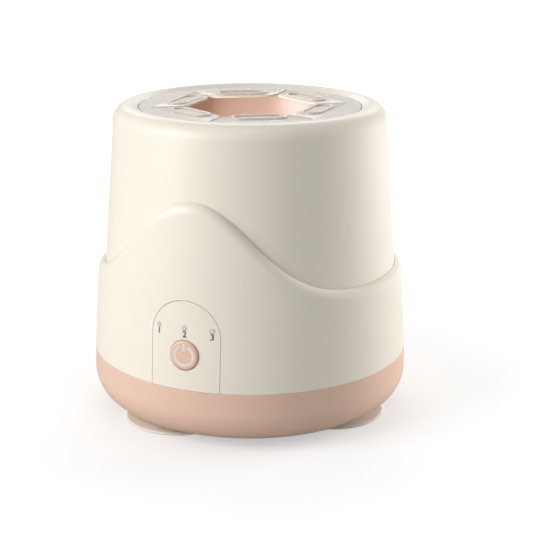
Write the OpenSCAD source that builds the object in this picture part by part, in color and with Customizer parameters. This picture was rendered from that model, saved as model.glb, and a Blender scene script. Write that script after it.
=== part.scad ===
// Bottle shaker: a free-standing drum that turns a baby bottle to and fro.
// Millimetres. Z is up, the table is at z = 0, the spin axis is x = y = 0.
// The control panel faces -Y. Angles round the drum start there and grow towards +X.

/* [Overall] */
// Height from the table to the crest of the top rim
total_h = 122; // [120:0.5:126]
// Widest diameter, low on the base tray
base_d = 127; // [126:0.5:131]

/* [Base tray] */
// Height of the tray's underside above the table
foot_gap = 2.2; // [2:0.1:2.8]
// Height of the seam between tray and skirt
seam_z = 23.8; // [23:0.2:25]
// Radius that rounds the tray into its underside
base_round = 13; // [12:0.5:14]
// Wall and floor of the tray
base_wall = 2.4; // [2.2:0.1:2.8]
// How much the tray draws in from its widest line to the seam
seam_inset = 0.2; // [0:0.1:0.6]

/* [Skirt] */
// Inward lean of the skirt in degrees
skirt_draft = 3.7; // [3.2:0.1:4.2]
// Height of the skirt's rim at the sides and back
rim_low = 58.8; // [57.6:0.2:62]
// Rise of the wave over the control panel
rim_rise = 35.2; // [25:0.2:38]
// Spread of the wave in degrees
rim_spread = 32.5; // [28:0.5:36]
// Fullness of the wave's crest; 2 gives a plain bell
rim_power = 2.2; // [2:0.1:2.6]
// Height over which the rim rounds over
rim_fall = 4.4; // [3:0.2:6]
// Radial step from the upper shell out to the skirt at the rim
skirt_step = 2.75; // [2.4:0.05:3.2]
// Slices of the wavy skirt round the drum
skirt_slices = 144; // [96:24:192]

/* [Upper shell] */
// Inward lean of the upper shell in degrees
upper_draft = 4.4; // [4:0.1:4.8]
// Wall of the upper shell
upper_wall = 2.2; // [2:0.1:2.4]
// Rounding of the top edge
top_round = 6.5; // [5.5:0.25:7]
// Width of the sloping band inside the mouth
mouth_bevel = 2.25; // [2:0.25:3.5]
// Drop of the sloping band
mouth_drop = 1.3; // [1.2:0.1:1.8]
// Depth of the collar that hangs under the mouth
mouth_collar = 3; // [2:0.5:5]
// Gap between nested shells
shell_gap = 0.15; // [0.1:0.05:0.3]
// Running gap between mouth and gripper
mouth_gap = 0.4; // [0.3:0.1:0.8]

/* [Control panel] */
// Width of the arch
arch_w = 28; // [26:0.5:30]
// Height of the arch's top above the table
arch_top = 58.2; // [56:0.2:60]
// Gap round the panel
panel_gap = 0.2; // [0.15:0.05:0.3]
// Height of the button's centre
button_z = 37.4; // [36:0.2:39]
// Diameter of the button
button_d = 11.5; // [10.5:0.25:12.5]
// How far the button stands out
button_proud = 0.7; // [0.4:0.1:0.9]
// Gap round the button
button_gap = 0.2; // [0.15:0.05:0.3]
// Travel of the button
button_travel = 0.8; // [0.4:0.1:1]
// Width of the lines of the power symbol
symbol_w = 1.1; // [0.8:0.1:1.3]
// Radius of the power symbol to the middle of its line
symbol_r = 3.7; // [3.2:0.1:4]
// Depth of the power symbol's inlay
symbol_t = 0.5; // [0.3:0.1:0.6]
// Height of the three indicators
lens_z = 47.7; // [46:0.1:48.4]
// Spacing of the indicators
lens_pitch = 10.8; // [9:0.1:11]
// Diameter of an indicator
lens_d = 1.8; // [1.2:0.1:2]

/* [Gripper] */
// Wall of the gripper's band round the cup's rim
grip_wall = 1.6; // [1.4:0.1:1.8]
// Drop of the gripper's face below the rim's crest
grip_drop = 1.2; // [1:0.1:1.6]
// Thickness of ring and flaps
grip_t = 1; // [0.9:0.1:1.4]
// Length of a flap from its bending line to its tip
flap_len = 10.6; // [10:0.2:14]
// Width of the gripper's border that the slits leave uncut
grip_border = 5; // [4.6:0.2:6]
// Width of a slit
slit_w = 1; // [0.8:0.1:1.4]
// Rounding of the flaps' corners
flap_corner = 6; // [4:0.25:6.5]
// Gap along the root of a flap
root_gap = 0.2; // [0.15:0.05:0.3]
// Length of the raised bead along the flap
bead_l = 21.5; // [18:0.5:22]
// Width of the raised bead across the flap
bead_w = 8.6; // [7:0.2:9]
// Radius of the bead itself
bead_r = 0.7; // [0.5:0.05:0.8]
// Depth of the band that holds the ring on the cup
grip_band = 6.5; // [5:0.5:8]

/* [Cup] */
// Outer radius of the cup's rim
cup_r = 42.2; // [41.8:0.1:42.4]
// Wall of the cup
cup_wall = 2; // [1.8:0.1:2.2]
// Lean of the cup's wall in degrees
cup_draft = 1; // [0.6:0.1:1.2]
// Rounding at the foot of the cup
cup_round = 6; // [5:0.5:8]
// Thickness of the pad under the bottle
pad_t = 3; // [2.8:0.2:4]

/* [Drive] */
// Gear module
gear_m = 0.8; // [0.78:0.01:0.82]
// Teeth of the drive gear
gear_teeth = 64; // [60:4:68]
// Teeth of the pinion
pinion_teeth = 16; // [16:1:18]
// Pressure angle of the gears in degrees
gear_angle = 25; // [24:0.5:26]
// Backlash between the gears
gear_play = 0.16; // [0.12:0.02:0.24]
// Face width of the drive gear
gear_t = 5; // [4:0.5:6]
// Radius of the spindle
spindle_r = 3; // [2.8:0.1:3.2]
// Running clearance of the spindle
spindle_play = 0.04; // [0.02:0.01:0.06]
// Radius of the motor
motor_r = 12.2; // [11.6:0.1:12.6]
// Length of the motor
motor_len = 30.8; // [29:0.2:32]
// Height of the motor above the tray's floor
motor_lift = 4.6; // [4.4:0.2:6]
// Radius of the motor shaft
shaft_r = 1; // [0.9:0.05:1.1]
// Thickness of the chassis plate
chassis_t = 2.6; // [2.4:0.1:3]

/* [Electrics] */
// Radius of the battery
cell_r = 9.1; // [8.9:0.05:9.2]
// Length of the battery
cell_len = 65; // [63:0.5:66]
// Thickness of the circuit boards
board_t = 1.6; // [1.2:0.1:1.8]
// Height of the charging socket's centre
socket_z = 31; // [30:0.2:32]

/* [Feet and screws] */
// Radius of a suction foot
foot_r = 21; // [20:0.25:21]
// Distance of a foot from the axis
foot_place = 37.5; // [37:0.25:38.5]
// Angle of the middle of the front pair of feet
foot_turn = 28.3; // [26:0.1:30]
// Half of the angle between the front pair of feet
foot_half = 54.5; // [53:0.5:55]
// Radius of a case screw
screw_r = 1.45; // [1.3:0.05:1.55]
// Clearance of a screw in its hole
screw_gap = 0.1; // [0.05:0.05:0.2]

/* [Hidden] */
$fn = 96;
over = 1;
cream = [0.95, 0.93, 0.88];
peach = [0.87, 0.70, 0.60];
silicone = [0.85, 0.82, 0.79];
steel = [0.72, 0.73, 0.75];
brass = [0.78, 0.62, 0.34];
black = [0.16, 0.16, 0.17];
green = [0.15, 0.38, 0.25];
white = [0.97, 0.97, 0.96];
base_r = base_d / 2;
seam_r = base_r - seam_inset;
widest_z = foot_gap + base_round;
floor_z = foot_gap + base_wall;
sink = 0.4;
arch_r = arch_w / 2;
arch_z = arch_top - arch_r;
arch_ledge = 1.2;
grip_r = cup_r + grip_wall;
grip_z = total_h - grip_drop - grip_t;
grip_top = grip_z + grip_t;
mouth_r = grip_r + mouth_gap;
slit_r = grip_r - grip_border;
root_flat = slit_r * cos(30);
hole_flat = root_flat - flap_len;
root_trim = 0.6;
slit_edge = slit_w / 2 / cos(30);
root_half = (root_flat - root_trim) * tan(30) - slit_edge;
bead_edge = 1;
bead_place = root_flat - bead_edge - bead_w / 2;
motor_z = floor_z + motor_lift;
motor_top = motor_z + motor_len;
chassis_top = motor_top + chassis_t;
bush_flange = 1.2;
washer_t = 0.6;
gear_z = chassis_top + bush_flange + washer_t;
gear_top = gear_z + gear_t;
hub_gap = 0.4;
hub_z = gear_top + hub_gap;
hub_h = 1.6;
hub_r = 12;
cup_z = hub_z + hub_h;
cup_floor = cup_z + cup_wall;
pad_r = cup_r - 0.8 - cup_wall - cup_round;
drive_flat = 7;
drive_h = 2.2;
drive_gap = 0.05;
spindle_top = gear_top + drive_h;
gear_pitch_r = gear_m * gear_teeth / 2;
pinion_pitch_r = gear_m * pinion_teeth / 2;
drive_x = gear_pitch_r + pinion_pitch_r;
pinion_z = gear_z + 0.4;
pinion_len = gear_t + 0.4;
column_r = 9;
column_z = 24;
bush_r = 5;
bush_len = 8;
clip_t = 0.7;
clip_gap = 0.2;
clip_z = column_z - bush_flange - clip_gap - clip_t;
spindle_z = clip_z - 1.2;
motor_hole = 8;
post_r = base_r - 11.5;
post_rad = 4.8;
post_seat = seam_z - 9.8;
boss_rad = 4;
boss_h = 12;
head_r = 2.8;
head_h = 2.2;
pillar_inset = 17.4;
pillars = [for (a = [49.4, 192.8, 335.6]) (base_r - pillar_inset) * [cos(a), sin(a)]];
pillar_rad = 4;
grommet_t = 1.2;
grommet_r = 4.2;
cell_inset = 33.5;
cell_x = cell_inset - base_r;
cell_z = floor_z + 5 + cell_r;
contact_t = 0.4;
board_y = upper_in(button_z) - 6;
board_half = 19;
board_low = seam_z + 4;
board_high = arch_top - 3;
board_hole_x = 16.2;
board_hole_low = board_low + 3;
board_hole_high = board_high - 3;
small_r = 0.95;
wire_r = 0.65;
foot_stem = 4.4;
foot_head = 6.4;
foot_seat = 8.6;
lead_gap = 0.3;
socket_w = 8.94;
socket_h = 3.26;
socket_len = 7.4;
socket_wall = 0.3;
socket_y = skirt_r(socket_z) - 1;
charge_t = 1.2;
charge_z = socket_z - socket_h / 2 - charge_t;
charge_y = socket_y - socket_len - 14;
charge_post_x = 6;
charge_post_y = charge_y + 4;
switch_h = 3.6;
flange_y = sqrt(pow(upper_r(button_z + button_d / 2 + 1.2), 2) - pow(button_d / 2 + 1.2, 2)) - 0.35;
flange_t = 1;
button_face = skirt_r(button_z) + button_proud;
stem_y = board_y + switch_h + button_travel + 0.3;
plunger_y = board_y + switch_h - 1.8;

// Outside radius of the skirt at height z
function skirt_r(z) = seam_r - (z - seam_z) * tan(skirt_draft);

// Outside radius of the upper shell at height z
function upper_r(z) = skirt_r(rim_low) - skirt_step - (z - rim_low) * tan(upper_draft);

// Inside radius of the upper shell at height z
function upper_in(z) = upper_r(z) - upper_wall / cos(upper_draft);

// Inside radius of the skirt at height z
function skirt_in(z) = upper_r(z) + shell_gap;

// Height of the skirt's crest at angle a from the front
function crest(a) = rim_low + rim_rise * exp(-pow(abs(a) / rim_spread, rim_power));

// Steepness of the crest along the drum at angle a
function crest_slope(a) =
  rim_power / rim_spread * pow(abs(a) / rim_spread, rim_power - 1) * (crest(a) - rim_low) * 180 / PI
    / skirt_r(rim_low);

// Fall of the rounded rim at angle a, longer on the slopes so that its width looks even
function crest_fall(a) = rim_fall * sqrt(1 + pow(crest_slope(a), 2));

// Places a child at angle a from the front and radius r
module at(a, r) {
  rotate([0, 0, a])
    translate([0, -r, 0])
      children();
}

// Lays a child drawn in x and y on the front: x stays, y becomes height, depth runs to -Y
module to_front() {
  rotate([90, 0, 0])
    children();
}

// Ring standing on z = 0
module ring(outer, inner, h) {
  difference() {
    cylinder(r = outer, h = h);
    translate([0, 0, -over])
      cylinder(r = inner, h = h + 2 * over);
  }
}

// Half section of the tray, drawn inset from the outside by a wall
module base_section(inset) {
  mid = base_r - base_round;
  top = inset > 0 ? seam_z + over : seam_z;
  intersection() {
    union() {
      translate([mid, widest_z])
        circle(r = base_round - inset);
      translate([0, foot_gap + inset])
        square([mid, seam_z]);
      polygon([[mid - over, widest_z], [base_r - inset, widest_z],
               [seam_r - inset, seam_z], [seam_r - inset, top + over], [mid - over, top + over]]);
    }
    square([base_d, top]);
  }
}

// Seat of every foot: its angle round the drum
function foot_angle(i) = foot_turn + (i < 2 ? 0 : 180) + (i % 2 == 0 ? -foot_half : foot_half);

module base_tray() {
  color(peach)
  difference() {
    union() {
      rotate_extrude()
        difference() {
          base_section(0);
          base_section(base_wall);
        }
      for (i = [0:3])
        at(foot_turn + 90 * i, post_r)
          translate([0, 0, floor_z - sink])
            cylinder(r = post_rad, h = seam_z - floor_z + sink);
      for (p = pillars)
        translate([p[0], p[1], floor_z - sink])
          cylinder(r = pillar_rad, h = motor_top - grommet_t - floor_z + sink);
      for (p = pillars)
        for (turn = [0:90:270])
          translate([p[0], p[1], floor_z - sink])
            rotate([0, 0, turn + atan2(p[1], p[0])])
              translate([0, -0.7, 0])
                cube([pillar_rad + 1.6, 1.4, 8]);
      for (side = [-1, 1])
        translate([side * charge_post_x, charge_post_y, floor_z - sink])
          cylinder(r = 2.6, h = charge_z - floor_z + sink);
      for (i = [0:3])
        at(foot_angle(i), foot_place)
          translate([0, 0, floor_z - sink])
            ring(foot_seat, foot_head + 0.8, 2 + sink);
    }
    for (i = [0:3])
      at(foot_turn + 90 * i, post_r) {
        translate([0, 0, -over])
          cylinder(r = head_r + 0.4, h = post_seat + over);
        cylinder(r = screw_r + screw_gap, h = seam_z + over);
      }
    for (p = pillars)
      translate([p[0], p[1], motor_top - grommet_t - 9])
        cylinder(r = screw_r + screw_gap, h = 9 + over);
    for (side = [-1, 1])
      translate([side * charge_post_x, charge_post_y, charge_z - 6])
        cylinder(r = small_r + screw_gap, h = 6 + over);
    for (i = [0:3])
      at(foot_angle(i), foot_place)
        cylinder(r = foot_stem + screw_gap, h = floor_z + over);
  }
}

// Suction foot: thin lip, shallow hollow below, a stem through the floor and a head above it
module suction_foot(i) {
  hollow = foot_gap - 0.9;
  edge = foot_r - 1.6;
  ball = (edge * edge + hollow * hollow) / (2 * hollow);
  color(silicone)
  at(foot_angle(i), foot_place)
    rotate_extrude()
      difference() {
        polygon([[0, 0], [foot_r - 0.3, 0], [foot_r, 0.3], [foot_r, 0.9], [foot_seat, foot_gap - 0.2],
                 [foot_seat - 0.6, foot_gap], [foot_stem, foot_gap], [foot_stem, floor_z],
                 [foot_head, floor_z], [foot_head, floor_z + 0.8],
                 [foot_stem + 0.2, floor_z + 2.6], [0, floor_z + 2.6]]);
        translate([0, hollow - ball])
          circle(r = ball, $fn = 256);
      }
}

module suction_foot_1() suction_foot(0);
module suction_foot_2() suction_foot(1);
module suction_foot_3() suction_foot(2);
module suction_foot_4() suction_foot(3);

// Arch outline, drawn in by a margin all round
module arch(margin, low) {
  translate([0, arch_z])
    circle(r = arch_r - margin);
  translate([margin - arch_r, low])
    square([arch_w - 2 * margin, arch_z - low]);
}

// Slot with round ends, centred
module slot(w, h) {
  square([w - h, h], center = true);
  for (side = [-1, 1])
    translate([side * (w - h) / 2, 0])
      circle(r = h / 2);
}

// The wavy skirt as one loft: each slice runs up the outside, over the crest and down the inside
module skirt_body() {
  steps = 5;
  rows = steps + 3;
  slice = function (a)
    let (top = crest(a), fall = crest_fall(a), inner = skirt_in(top), outer = skirt_r(top - fall))
      concat([[skirt_r(seam_z), seam_z]],
             [for (k = [0:steps]) [inner + (outer - inner) * cos(90 * k / steps),
                                   top - fall + fall * sin(90 * k / steps)]],
             [[skirt_in(seam_z), seam_z]]);
  spots = [for (i = [0:skirt_slices - 1])
             let (a = 360 * i / skirt_slices - 180)
               for (p = slice(a)) [p[0] * sin(a), -p[0] * cos(a), p[1]]];
  faces = [for (i = [0:skirt_slices - 1], k = [0:rows - 1])
             let (a = i * rows + k, b = i * rows + (k + 1) % rows,
                  c = ((i + 1) % skirt_slices) * rows + k,
                  d = ((i + 1) % skirt_slices) * rows + (k + 1) % rows)
               each [[a, b, d], [a, d, c]]];
  polyhedron(points = spots, faces = faces, convexity = 6);
}

module skirt() {
  color(cream)
  difference() {
    skirt_body();
    to_front()
      linear_extrude(base_d)
        arch(0, 0);
    translate([0, base_d, socket_z])
      to_front()
        linear_extrude(base_d)
          slot(socket_w + 1.2, socket_h + 1.2);
  }
}

// Half section of the upper shell, drawn in from the outside by a wall
module upper_section(inset) {
  low = inset > 0 ? seam_z - over : seam_z;
  tip = top_round - inset;
  mid_z = total_h - top_round;
  mid_r = upper_r(mid_z) - top_round / cos(upper_draft);
  touch_r = mid_r + tip * cos(upper_draft);
  touch_z = mid_z + tip * sin(upper_draft);
  foot = touch_r + (touch_z - low) * tan(upper_draft);
  translate([mid_r, mid_z])
    circle(r = tip);
  polygon([[0, low], [foot, low], [touch_r, touch_z], [mid_r, mid_z], [mid_r, mid_z + tip],
           [0, mid_z + tip]]);
}

module upper_shell() {
  lip = mouth_r + 2.2;
  color(cream)
  difference() {
    union() {
      rotate_extrude()
        difference() {
          union() {
            difference() {
              upper_section(0);
              upper_section(upper_wall);
            }
            translate([mouth_r, total_h - mouth_drop - mouth_collar])
              square([lip - mouth_r, mouth_collar + mouth_drop - 0.6]);
          }
          polygon([[0, seam_z - over], [mouth_r, seam_z - over], [mouth_r, total_h - mouth_drop],
                   [mouth_r + mouth_bevel, total_h], [mouth_r + mouth_bevel, total_h + over],
                   [0, total_h + over]]);
        }
      for (i = [0:3])
        at(foot_turn + 90 * i, post_r)
          translate([0, 0, seam_z])
            cylinder(r = boss_rad, h = boss_h);
      intersection() {
        rotate_extrude()
          upper_section(upper_wall / 2);
        union() {
          for (i = [0:3])
            at(foot_turn + 90 * i, post_r + 2)
              translate([-1, -base_r, seam_z])
                cube([2, base_r, boss_h]);
          for (side = [-1, 1])
            for (z = [board_hole_low, board_hole_high])
              translate([side * board_hole_x, -board_y, z])
                to_front()
                  cylinder(r = 2.8, h = base_r);
        }
      }
    }
    to_front()
      linear_extrude(base_d)
        arch(arch_ledge, board_low - 1);
    translate([0, base_d, socket_z])
      to_front()
        linear_extrude(base_d)
          slot(socket_w + 1.2, socket_h + 1.2);
    translate([-socket_w / 2 - 2, 0, charge_z - 0.4])
      cube([socket_w + 4, base_r, socket_z - charge_z + 0.4]);
    for (i = [0:3])
      at(foot_turn + 90 * i, post_r)
        cylinder(r = screw_r + screw_gap, h = seam_z + boss_h - 2);
    for (side = [-1, 1])
      for (z = [board_hole_low, board_hole_high])
        translate([side * board_hole_x, over - board_y, z])
          to_front()
            cylinder(r = small_r + screw_gap, h = 4 + over);
  }
}

module control_panel() {
  color(cream)
  difference() {
    intersection() {
      rotate_extrude()
        polygon([[upper_r(seam_z) + 0.1, seam_z], [skirt_r(seam_z), seam_z],
                 [skirt_r(arch_top), arch_top], [upper_r(arch_top) + 0.1, arch_top]]);
      to_front()
        linear_extrude(base_d)
          arch(panel_gap, seam_z + panel_gap);
    }
    translate([0, 0, button_z])
      to_front()
        cylinder(d = button_d + 2 * button_gap, h = base_d);
    for (i = [-1:1])
      translate([i * lens_pitch, 0, lens_z])
        to_front()
          cylinder(d = lens_d + 0.2, h = base_d);
  }
}

// Power symbol in the flat: a ring open at the top and a bar
module symbol(extra) {
  half = symbol_w / 2 + extra;
  difference() {
    circle(r = symbol_r + half);
    circle(r = symbol_r - half);
    translate([-1.5 + extra, 0])
      square([3 - 2 * extra, base_d]);
  }
  translate([-half, 1.6 - extra])
    square([2 * half, symbol_r + 1 - 1.6 + 2 * extra]);
}

module power_button() {
  soft = 0.8;
  barrel = button_d / 2;
  long = button_face - flange_y;
  color(peach)
  translate([0, 0, button_z])
    to_front()
      difference() {
        union() {
          translate([0, 0, flange_y])
            rotate_extrude()
              union() {
                square([barrel, long - soft]);
                square([barrel - soft, long]);
                translate([barrel - soft, long - soft])
                  circle(r = soft);
              }
          translate([0, 0, flange_y - flange_t])
            cylinder(r = barrel + 1.2, h = flange_t);
          translate([0, 0, stem_y])
            cylinder(r = 2, h = flange_y - flange_t - stem_y);
        }
        translate([0, 0, button_face - symbol_t])
          linear_extrude(symbol_t + over)
            symbol(0);
      }
}

module power_symbol() {
  color(white)
  translate([0, 0, button_z])
    to_front()
      translate([0, 0, button_face - symbol_t])
        linear_extrude(symbol_t)
          symbol(-0.02);
}

module switch_plunger() {
  color(black)
  translate([0, 0, button_z])
    to_front()
      translate([0, 0, plunger_y])
        cylinder(r = 1.6, h = stem_y - plunger_y);
}

module tact_switch() {
  color(black)
  translate([0, 0, button_z])
    to_front()
      translate([0, 0, board_y])
        difference() {
          translate([-3, -3, 0])
            cube([6, 6, switch_h]);
          translate([0, 0, switch_h - 3])
            cylinder(r = 1.75, h = 3 + over);
        }
}

// Distance of an indicator's face from the axis plane
function lens_face(i) = sqrt(pow(skirt_r(lens_z), 2) - pow(i * lens_pitch, 2)) + 0.1;

module indicator_lenses() {
  color(white)
  for (i = [-1:1])
    translate([i * lens_pitch, 0, lens_z])
      to_front()
        translate([0, 0, board_y + 1.6])
          cylinder(d = lens_d, h = lens_face(i) - board_y - 1.6);
}

module indicator_leds() {
  color(white)
  for (i = [-1:1])
    translate([i * lens_pitch, 0, lens_z])
      to_front()
        translate([-1, -0.7, board_y])
          cube([2, 1.4, 1.2]);
}

module control_board() {
  color(green)
  difference() {
    translate([-board_half, -board_y, board_low])
      cube([2 * board_half, board_t, board_high - board_low]);
    for (side = [-1, 1])
      for (z = [board_hole_low, board_hole_high])
        translate([side * board_hole_x, 2 * board_t - board_y, z])
          to_front()
            cylinder(r = small_r + screw_gap, h = 4 * board_t);
  }
}

// Screw with a round head, pointing up, head below z = 0
module screw(r, long, cap_r, cap_h) {
  translate([0, 0, -cap_h])
    cylinder(r = cap_r, h = cap_h);
  cylinder(r = r, h = long);
}

module board_screws() {
  color(steel)
  for (side = [-1, 1])
    for (z = [board_hole_low, board_hole_high])
      translate([side * board_hole_x, board_t - board_y, z])
        to_front()
          screw(small_r, board_t + 3.4, 1.9, 1.3);
}

module case_screws() {
  color(steel)
  for (i = [0:3])
    at(foot_turn + 90 * i, post_r)
      translate([0, 0, post_seat])
        screw(screw_r, seam_z + boss_h - 3 - post_seat, head_r, head_h);
}

module charge_board() {
  color(green)
  difference() {
    union() {
      translate([-9, charge_y, charge_z])
        cube([18, upper_in(charge_z) - 2 - charge_y, charge_t]);
      translate([-socket_w / 2 - 1.2, charge_y, charge_z])
        cube([socket_w + 2.4, socket_y - 2.2 - charge_y, charge_t]);
    }
    for (side = [-1, 1])
      translate([side * charge_post_x, charge_post_y, charge_z - over])
        cylinder(r = small_r + screw_gap, h = charge_t + 2 * over);
  }
}

module charge_screws() {
  color(steel)
  for (side = [-1, 1])
    translate([side * charge_post_x, charge_post_y, charge_z + charge_t])
      rotate([180, 0, 0])
        screw(small_r, charge_t + 4.5, 1.9, 1.3);
}

module charge_socket() {
  color(steel)
  translate([0, socket_y, socket_z])
    to_front()
      difference() {
        linear_extrude(socket_len)
          slot(socket_w, socket_h);
        translate([0, 0, -over])
          linear_extrude(socket_len - 1 + over)
            slot(socket_w - 2 * socket_wall, socket_h - 2 * socket_wall);
      }
}

module socket_tongue() {
  color(black)
  translate([-3.35, socket_y - socket_len + 1, socket_z - 0.35])
    cube([6.7, socket_len - 1.8, 0.7]);
}

module battery() {
  color([0.45, 0.55, 0.62])
  translate([cell_x, cell_len / 2, cell_z])
    to_front() {
      cylinder(r = cell_r, h = cell_len - 1);
      cylinder(r = 2.8, h = cell_len);
    }
}

// Cradle: a floor with two low sides between two end walls that stand on the tray
module battery_holder() {
  wall_y = cell_len / 2 + contact_t + 0.1;
  half = 4.5;
  bed_z = cell_z - cell_r - 0.1;
  color(black)
  difference() {
    union() {
      for (side = [0, 1])
        mirror([0, side, 0])
          translate([cell_x - half, wall_y, floor_z])
            cube([2 * half, 2.4, cell_z + 5 - floor_z]);
      translate([cell_x - 7, -wall_y - over, bed_z - 1.6])
        cube([14, 2 * wall_y + 2 * over, 1.6]);
      for (side = [-1, 1])
        translate([cell_x + side * 6 - 1, -wall_y - over, bed_z - 1.6])
          cube([2, 2 * wall_y + 2 * over, 6]);
    }
    translate([cell_x, wall_y - 0.05, cell_z])
      to_front()
        cylinder(r = cell_r + 0.1, h = 2 * wall_y - 0.1);
  }
}

module battery_contacts() {
  color(brass)
  for (side = [0, 1])
    mirror([0, side, 0])
      translate([cell_x - 4, cell_len / 2 + 0.05, cell_z - 5])
        cube([8, contact_t, 11]);
}

// Point of a smooth curve through a list of points, u from 0 to the last index
function along(path, u) =
  let (i = min(floor(u), len(path) - 2), t = u - i, p1 = path[i], p2 = path[i + 1],
       p0 = i > 0 ? path[i - 1] : 2 * p1 - p2,
       p3 = i + 2 < len(path) ? path[i + 2] : 2 * p2 - p1)
    p1 + t / 2 * (p2 - p0 + t * (2 * p0 - 5 * p1 + 4 * p2 - p3 + t * (3 * (p1 - p2) + p3 - p0)));

// Insulated wire along a smooth curve through a list of points, eight-sided
module wire(path) {
  sides = 8;
  steps = 4 * (len(path) - 1);
  unit = function (v) v / norm(v);
  rings = [for (i = [0:steps])
             let (u = i / 4, here = along(path, u),
                  way = unit(along(path, min(u + 0.1, steps / 4)) - along(path, max(u - 0.1, 0))),
                  out = unit(cross([1, 0.1, 0.05], way)), up = cross(way, out))
               for (k = [0:sides - 1])
                 here + wire_r * (out * cos(360 * k / sides) + up * sin(360 * k / sides))];
  last = steps * sides;
  walls = [for (i = [0:steps - 1], k = [0:sides - 1])
             let (a = i * sides + k, b = i * sides + (k + 1) % sides)
               each [[a, a + sides, b], [b, a + sides, b + sides]]];
  ends = [for (k = [1:sides - 2])
            each [[0, k, k + 1], [last, last + k + 1, last + k]]];
  polyhedron(points = rings, faces = concat(walls, ends), convexity = 8);
}

module motor_leads() {
  color([0.72, 0.18, 0.15])
  for (k = [-1, 1]) {
    way = [cos(240 + 14 * k), sin(240 + 14 * k)];
    start = [drive_x, 0] + (motor_r + lead_gap) * way;
    bend = [drive_x, 0] + (motor_r + 5) * way;
    wire([[start[0], start[1], motor_z + 1.5],
          [bend[0], bend[1], motor_z + 2.5],
          [16 + 2 * k, 17 - board_y, seam_z],
          [11 + 2 * k, 6.5 - board_y, board_low + 3],
          [10 + 2 * k, board_t + lead_gap - board_y, board_low + 4]]);
  }
}

module battery_leads() {
  end_z = charge_z + charge_t + lead_gap;
  start_y = cell_len / 2 + 0.9;
  start_z = cell_z + 6 + lead_gap;
  color([0.72, 0.18, 0.15]) {
    wire([[cell_x, start_y, start_z],
          [cell_x + 1, cell_len / 2 + 2, cell_z + 10],
          [-14, charge_y + 3, charge_z + 6],
          [-5, charge_y + 10, charge_z + 4],
          [-5, charge_y + 10, end_z]]);
    wire([[cell_x, -start_y, start_z],
          [cell_x + 2, 2 - cell_len / 2, cell_z + 11],
          [-15, -10, cell_z + 13],
          [-14, 14, cell_z + 13],
          [-8, charge_y, charge_z + 6],
          [-2, charge_y + 10, charge_z + 4],
          [-2, charge_y + 10, end_z]]);
  }
}

module link_leads() {
  level = charge_z + 6.8;
  color(black)
  for (k = [-1, 1])
    wire([[4 + 1.2 * k, charge_y + 10, charge_z + charge_t + lead_gap],
          [4 + 1.2 * k, charge_y + 10, charge_z + 5],
          [8 + 1.2 * k, charge_y - 2, level - 1],
          [14.4 + 1.2 * k, 2, level],
          [12 + 1.2 * k, 24 - board_y, level],
          [4 + 1.2 * k, 6.5 - board_y, level],
          [4 + 1.2 * k, board_t + lead_gap - board_y, level]]);
}

// Outline of the chassis plate: three ears on the pillars and a pad for the motor
module chassis_outline() {
  difference() {
    union() {
      circle(r = 18);
      translate([drive_x, 0])
        circle(r = motor_r + 2);
      translate([0, -12])
        square([drive_x, 24]);
      for (p = pillars) {
        translate(p)
          circle(r = 8);
        rotate(atan2(p[1], p[0]))
          translate([0, -6.5])
            square([norm(p), 13]);
      }
    }
    circle(r = bush_r);
    translate([drive_x, 0])
      circle(r = 3.4);
    for (side = [-1, 1])
      translate([drive_x, side * motor_hole])
        circle(r = 1.25 + screw_gap);
    for (p = pillars)
      translate(p)
        circle(r = grommet_r);
  }
}

// Plate that carries the motor and, in a ribbed column, the spindle
module chassis() {
  color(black)
  difference() {
    union() {
      translate([0, 0, motor_top])
        linear_extrude(chassis_t)
          chassis_outline();
      translate([0, 0, column_z])
        ring(column_r, bush_r, motor_top - column_z + chassis_t / 2);
      for (turn = [45:90:315])
        rotate([0, 0, turn])
          translate([column_r - 1, -1, column_z + 4])
            cube([6, 2, motor_top - column_z - 4 + sink]);
    }
    translate([0, 0, column_z - over])
      cylinder(r = bush_r, h = chassis_top - column_z + 2 * over);
  }
}

module chassis_grommets() {
  color([0.24, 0.24, 0.25])
  for (p = pillars)
    translate([p[0], p[1], motor_top - grommet_t])
      difference() {
        union() {
          cylinder(r = 6.4, h = grommet_t);
          cylinder(r = grommet_r, h = chassis_t + 2 * grommet_t);
          translate([0, 0, grommet_t + chassis_t])
            cylinder(r = 6.4, h = grommet_t);
        }
        translate([0, 0, -over])
          cylinder(r = screw_r + screw_gap, h = chassis_t + 4 * grommet_t);
      }
}

module chassis_screws() {
  color(steel)
  for (p = pillars)
    translate([p[0], p[1], chassis_top + grommet_t])
      rotate([180, 0, 0])
        screw(screw_r, chassis_t + 2 * grommet_t + 8, 4, 1.8);
}

module motor_can() {
  color(steel)
  translate([drive_x, 0, 0])
    difference() {
      union() {
        translate([0, 0, motor_z + 3])
          cylinder(r = motor_r, h = motor_len - 3);
        translate([0, 0, motor_top - sink])
          cylinder(r = 3.1, h = 1.8 + sink);
      }
      translate([0, 0, motor_z])
        cylinder(r = shaft_r + 0.05, h = motor_len + 2 * over + 1.8);
      for (side = [-1, 1])
        translate([0, side * motor_hole, motor_top - 4.5])
          cylinder(r = 1.25 + screw_gap, h = 4.5 + over);
    }
}

module motor_end_cap() {
  color(white)
  translate([drive_x, 0, motor_z])
    difference() {
      cylinder(r = motor_r, h = 3);
      translate([0, 0, 1])
        cylinder(r = shaft_r + 0.05, h = 3);
    }
}

module motor_screws() {
  color(steel)
  for (side = [-1, 1])
    translate([drive_x, side * motor_hole, chassis_top])
      rotate([180, 0, 0])
        screw(1.25, chassis_t + 4, 2.2, 1.5);
}

module motor_shaft() {
  color(steel)
  translate([drive_x, 0, motor_z + 1.2])
    cylinder(r = shaft_r, h = pinion_z + pinion_len - motor_z - 0.9);
}

// Involute of an angle given in degrees, in degrees
function inv(a) = tan(a) * 180 / PI - a;

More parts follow.
